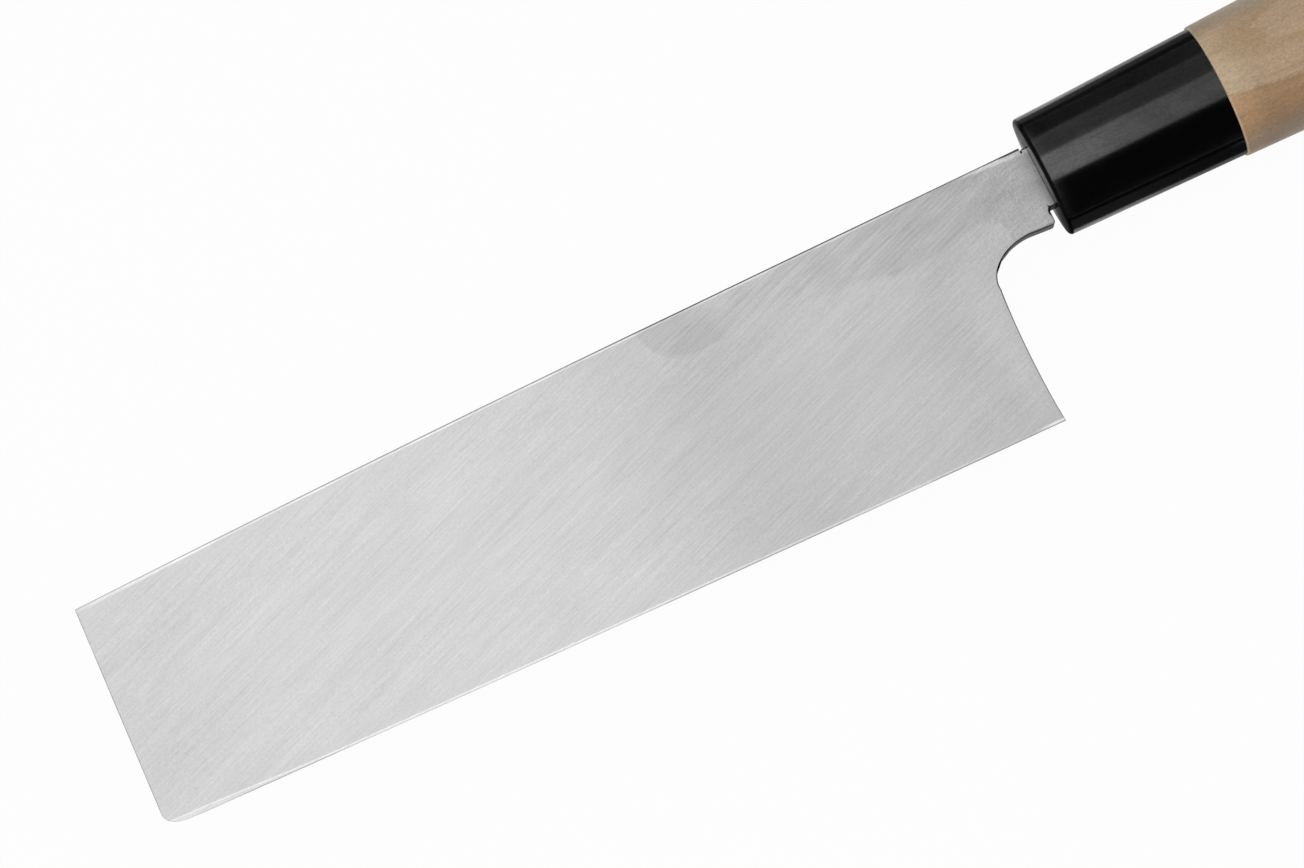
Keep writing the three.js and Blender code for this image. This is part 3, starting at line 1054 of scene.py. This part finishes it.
def soft_iron():
    """Duller iron of the front: brushed flat, misty bevel, painted shade on walls, and a bright tang root."""
    finish, sheet = new_finish("soft_iron_haze")
    spot = from_place(sheet, -notch_gap, 0, back_z)
    x, y, z = parts_of(spot)
    fine = grain(spot, *iron_marks, detail=4, roughness=0.75)
    mist = grain(spot, *mist_marks, detail=5, roughness=0.7)
    cloud = grain(spot, *iron_cloud_marks, detail=3)
    over_edge = y - edge_line(x)
    bevel = (over_edge - bevel_width).fall(*bevel_border)
    weld = (over_edge + cloud * 0.8).line(weld_height, *weld_line)
    wall = levelness(sheet).fall(*wall_faces)
    # Painted shade on the walls, stronger next to the front face and at the neck's end.
    scale = wall * x.step(*wall_shade_zone) * (0.36 + z.fall(*front_wall) * 0.3 + x.step(*neck_end_wall) * 0.6)
    iron = 1 + fine * 0.3 * (1 - bevel) + mist * 0.22 * bevel + cloud * 0.1
    iron = iron * iron_level * (1 - bevel * 0.12) * (1 - weld * bevel * 0.3)
    # The tang's root is brushed like the back, with painted shade in the corner at the ferrule
    back_tone, _, back_height = brushed_back(spot, x, y)
    root = x.step(-0.02, 0.02) * (1 - wall)
    before_face = x - notch_gap + y * face_slant + (z + back_z) * face_tilt
    corner = before_face.step(-0.12, 0.0)
    level = iron + (back_tone * steel_level * (1 - corner * 0.8) - iron) * root
    ridges = fine * (1 - bevel) + mist * bevel
    shaded(
        sheet,
        {
            "Base Color": grey_of(level * (1 - scale)),
            "Metallic": 1.0,
            "Roughness": 0.4 + fine * 0.15 + bevel * 0.12 + wall * 0.12 - root * 0.04,
            "Normal": bumped(sheet, ridges + (back_height - ridges) * root, brush_depth),
        },
    )
    return finish


def black_ferrule():
    """Polished black under a clear skin, rubbed in patches and finely scratched, with a dull front rim."""
    finish, sheet = new_finish("polished_black_ferrule")
    spot = from_place(sheet, 0, 0, 0)
    x, y, z = parts_of(spot)
    scratch = grain(spot, *ferrule_scratches, detail=3, roughness=0.75)
    rub = grain(spot, *ferrule_rubs, detail=4, roughness=0.65)
    speck = grain(spot, *ferrule_specks, detail=3, roughness=0.7)
    level = black_level + scratch.step(0.1, 0.3) * scuff_level + speck.step(0.1, 0.3) * scuff_level
    behind_face = x + y * face_slant + z * face_tilt
    front_face = behind_face.fall(*front_face_fade) * (0.8 - y.step(*front_face_middle) * 0.68)
    front_rim = behind_face.line(front_rim_depth, *front_rim_line) * y.fall(*front_rim_top)
    lower_rim = y.fall(*lower_rim_height)
    gloss = (0.82 + rub * 0.7 + speck * 0.9 + scratch * 0.5) * (1 - x.step(*dull_zone) * 0.3)
    gloss = gloss * (1 - lower_rim * (0.2 + x.step(*dull_rim_zone) * 0.3))
    shaded(
        sheet,
        {
            "Base Color": grey_of(level),
            "Roughness": 0.3 + scratch * 0.3 + rub * 0.2,
            "Specular IOR Level": 0.0,
            "Coat Weight": gloss * (1 - front_rim * 0.93) * (1 - front_face),
            "Coat IOR": ferrule_coat_ior,
            "Coat Roughness": ferrule_coat_roughness,
            "Normal": bumped(sheet, scratch + rub * 0.5 + speck * 0.3, scratch_depth),
        },
    )
    return finish


def handle_wood():
    """Pale sapwood over brown heartwood, with rings that graze the handle's top and show as long arches, and
    painted sheen and shade along its sides.
    """
    finish, sheet = new_finish("pale_handle_wood")
    spot = from_place(sheet, 0, 0, 0)
    x, y, z = parts_of(spot)
    sway = grain(spot, *wide_sway) * 1.6 + grain(spot, *narrow_sway) * 0.4
    # Height of a place above the tree's heart, and the rings that follow it
    growth = z * growth_slope.z + y * growth_slope.y + x * growth_slope.x + sway
    ring_place = growth / ring_width + ring_start
    ring = ring_place.math("FRACT", ring_place)
    late = ring.step(*late_wood_rise) * ring.fall(*late_wood_end)
    fibre = grain(spot, *wood_fibres, detail=3, roughness=0.7)
    streak = grain(spot, *wood_streaks, detail=3, roughness=0.6)
    fleck = grain(spot, *wood_flecks, roughness=0.6)
    pore = grain(spot, *wood_pores, detail=1).step(0.17, 0.27)
    speck = grain(spot, *wood_specks, roughness=0.7)
    # The heartwood starts at a plane that slants down along the handle
    heart_height = z * heart_slope.z + y * heart_slope.y + x * heart_slope.x
    heart_height = heart_height + sway * 0.5 + streak * 0.6 + fleck * 1.2
    heart = heart_height.fall(*heart_fade)
    dark_border = heart_height.line(heart_border, *heart_border_line)
    late = late * heart_height.step(*late_wood_height)
    # The heartwood grows darker towards the bottom.
    heart_darkening = (heart_height + streak * 3.5).fall(*heart_darkening_height)
    # The wood near the ferrule is paler, with a painted highlight on the shoulder's chamfer; painted shade
    # and sheen make the spine side darker and greyer, and painted sheen makes the edge side greyer
    front = x.fall(*front_zone)
    shoulder_highlight = x.fall(*shoulder_highlight_zone)
    upper_shade_and_sheen = y.step(*sheen_upper_side)
    lower_sheen = y.fall(*sheen_lower_side)
    sapwood = (front * (1 - y.step(*front_side) * 0.6)).colour(sapwood_colour, front_sapwood_colour)
    sapwood = (late * 0.8).colour(sapwood, late_wood_colour)
    sapwood = upper_shade_and_sheen.colour(sapwood, upper_shade_and_sheen_colour)
    heartwood = heart_darkening.colour(heartwood_colour, darker_heartwood_colour)
    wood = heart.colour(sapwood, heartwood)
    wood = (lower_sheen * 0.6).colour(wood, lower_sheen_colour)
    wood = (shoulder_highlight * 0.6).colour(wood, shoulder_highlight_colour)
    shade = 1 + fibre * 0.35 + speck * 0.8 + fleck * 0.3 + streak * 0.15 - late * heart * 0.1
    shade = shade * (1 - pore * 0.12) * (1 - dark_border * 0.1) * (1 + front * heart * 0.3)
    base = sheet.node("ShaderNodeVectorMath", {"operation": "SCALE"}, {0: wood, "Scale": shade})
    shaded(
        sheet,
        {
            "Base Color": base,
            "Roughness": 0.44 + fibre * 0.2,
            "Normal": bumped(sheet, fibre * 0.8 + speck * 0.5 - pore - late * 0.2, fibre_depth),
        },
    )
    return finish


def bedding_resin():
    """Dark cast resin with small bubbles, out of sight in the mortise."""
    finish, sheet = new_finish("cast_bedding_resin")
    bubble = grain(from_place(sheet, 0, 0, 0), *resin_bubbles)
    shaded(
        sheet,
        {
            "Base Color": (bubble + 0.5).colour(resin_colour, pale_resin_colour),
            "Roughness": 0.55 + bubble * 0.2,
            "Normal": bumped(sheet, bubble, bubble_depth),
        },
    )
    return finish


def white_table():
    """A white board that glows white to the camera and to what reflects or lets through light."""
    finish, sheet = new_finish("white_table")
    board = sheet.node("ShaderNodeBsdfPrincipled", {}, {"Base Color": grey(table_level), "Roughness": 0.8})
    glow = sheet.node("ShaderNodeEmission", {}, {"Color": grey(1.0), "Strength": 1.0})
    camera_ray, glossy_ray, clear_ray = [sheet.node("ShaderNodeLightPath", output=ray) for ray in seen_rays]
    seen = camera_ray.higher(glossy_ray).higher(clear_ray)
    surface = sheet.node("ShaderNodeMixShader", {}, {0: seen * table_glow, 1: board, 2: glow})
    sheet.node("ShaderNodeOutputMaterial", {}, {"Surface": surface})
    return finish


def card_finish(name, level):
    finish, sheet = new_finish(name)
    glow = sheet.node("ShaderNodeEmission", {}, {"Color": grey(level), "Strength": 1.0})
    sheet.node("ShaderNodeOutputMaterial", {}, {"Surface": glow})
    return finish


def card(name, corner, side, rise, finish):
    """A flat card of the studio, from a corner along two sides, which only reflections see."""
    side, rise = Vector(side), Vector(rise)
    choose_nothing()
    bpy.ops.mesh.primitive_plane_add(size=1)
    sheet = bpy.context.object
    sheet.name = name
    sheet.rotation_euler = side.cross(rise).normalized().to_track_quat("Z", "Y").to_euler()
    sheet.scale = (side.length, rise.length, 1)
    sheet.location = Vector(corner) + (side + rise) / 2
    sheet.data.materials.append(finish)
    sheet.visible_camera = False
    sheet.visible_diffuse = False
    sheet.visible_shadow = False


# The knife
blank = blade_blank()
edge_steel = blade_layer(blank, back=True)
iron = blade_layer(blank, back=False)
bpy.data.objects.remove(blank)
bar = tang()
apply_modifier(iron, "BOOLEAN", operation="UNION", object=bar, solver="EXACT")
bpy.data.objects.remove(bar)
choose(iron, "EDGE", lambda p: abs(p.x) < tiny and abs(p.y + tang_bottom) < tiny)
bpy.ops.mesh.bevel(offset=notch_rounding, segments=notch_segments, affect="EDGES")
done()
blade_shift = (-notch_gap, 0, back_z)
place(
    edge_steel,
    "blade_back",
    "edge_steel",
    brushed_steel(),
    "blade_edge_steel",
    smooth=blade_smooth,
    shift=blade_shift,
)
place(
    iron,
    "blade_front_and_tang",
    "soft_iron",
    soft_iron(),
    "blade_soft_iron",
    smooth=blade_smooth,
    shift=blade_shift,
)
place(make_ferrule(), "ferrule_cap", "ferrule_black", black_ferrule(), "ferrule")
place(make_handle(), "handle_grip", "handle_wood", handle_wood(), "handle")
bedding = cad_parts["tang_bedding"]
bedding.material_slots[0].material = bedding_resin()

# The table
choose_nothing()
bpy.ops.mesh.primitive_plane_add(size=table_size)
table = bpy.context.object
table.name = "table"
table.data.materials.append(white_table())

# Light: one large soft box over the knife, white surroundings, and dark cards along both sides
box_size = box_high - box_low
bpy.ops.object.light_add(type="AREA", location=(box_low + box_high) / 2)
soft_box = bpy.context.object
soft_box.name = "soft_box"
soft_box.data.shape = "RECTANGLE"
soft_box.data.size = box_size.x
soft_box.data.size_y = box_size.y
soft_box.data.energy = box_light * math.pi * box_size.x * box_size.y
card_finishes = {name: card_finish(name, level) for name, level in card_levels.items()}
for name, corner, side, rise, finish_name in cards:
    card(name, corner, side, rise, card_finishes[finish_name])

world = bpy.data.worlds.new("surroundings")
bpy.context.scene.world = world
world.use_nodes = True
world.node_tree.nodes.clear()
sky = Wire(world.node_tree)
upward = parts_of(sky.node("ShaderNodeTexCoord", output="Generated"))[2].higher(0)
brightness = horizon_level + upward * (zenith_level - horizon_level)
glow = sky.node("ShaderNodeBackground", {}, {"Color": grey_of(brightness), "Strength": 1.0})
sky.node("ShaderNodeOutputWorld", {}, {"Surface": glow})

# Camera
turn, height = math.radians(view_turn), math.radians(view_height)
back = Vector(
    (
        math.sin(turn) * math.cos(height),
        -math.cos(turn) * math.cos(height),
        math.sin(height),
    )
)
bpy.ops.object.camera_add(
    location=(view_target + back * view_distance) * MM,
    rotation=back.to_track_quat("Z", "Y").to_euler(),
)
camera = bpy.context.object
camera.data.sensor_width = sensor_width
camera.data.lens = lens_length
camera.data.clip_start = 0.01
camera.data.clip_end = 50
bpy.context.scene.camera = camera
bpy.context.scene.view_settings.view_transform = "Standard"
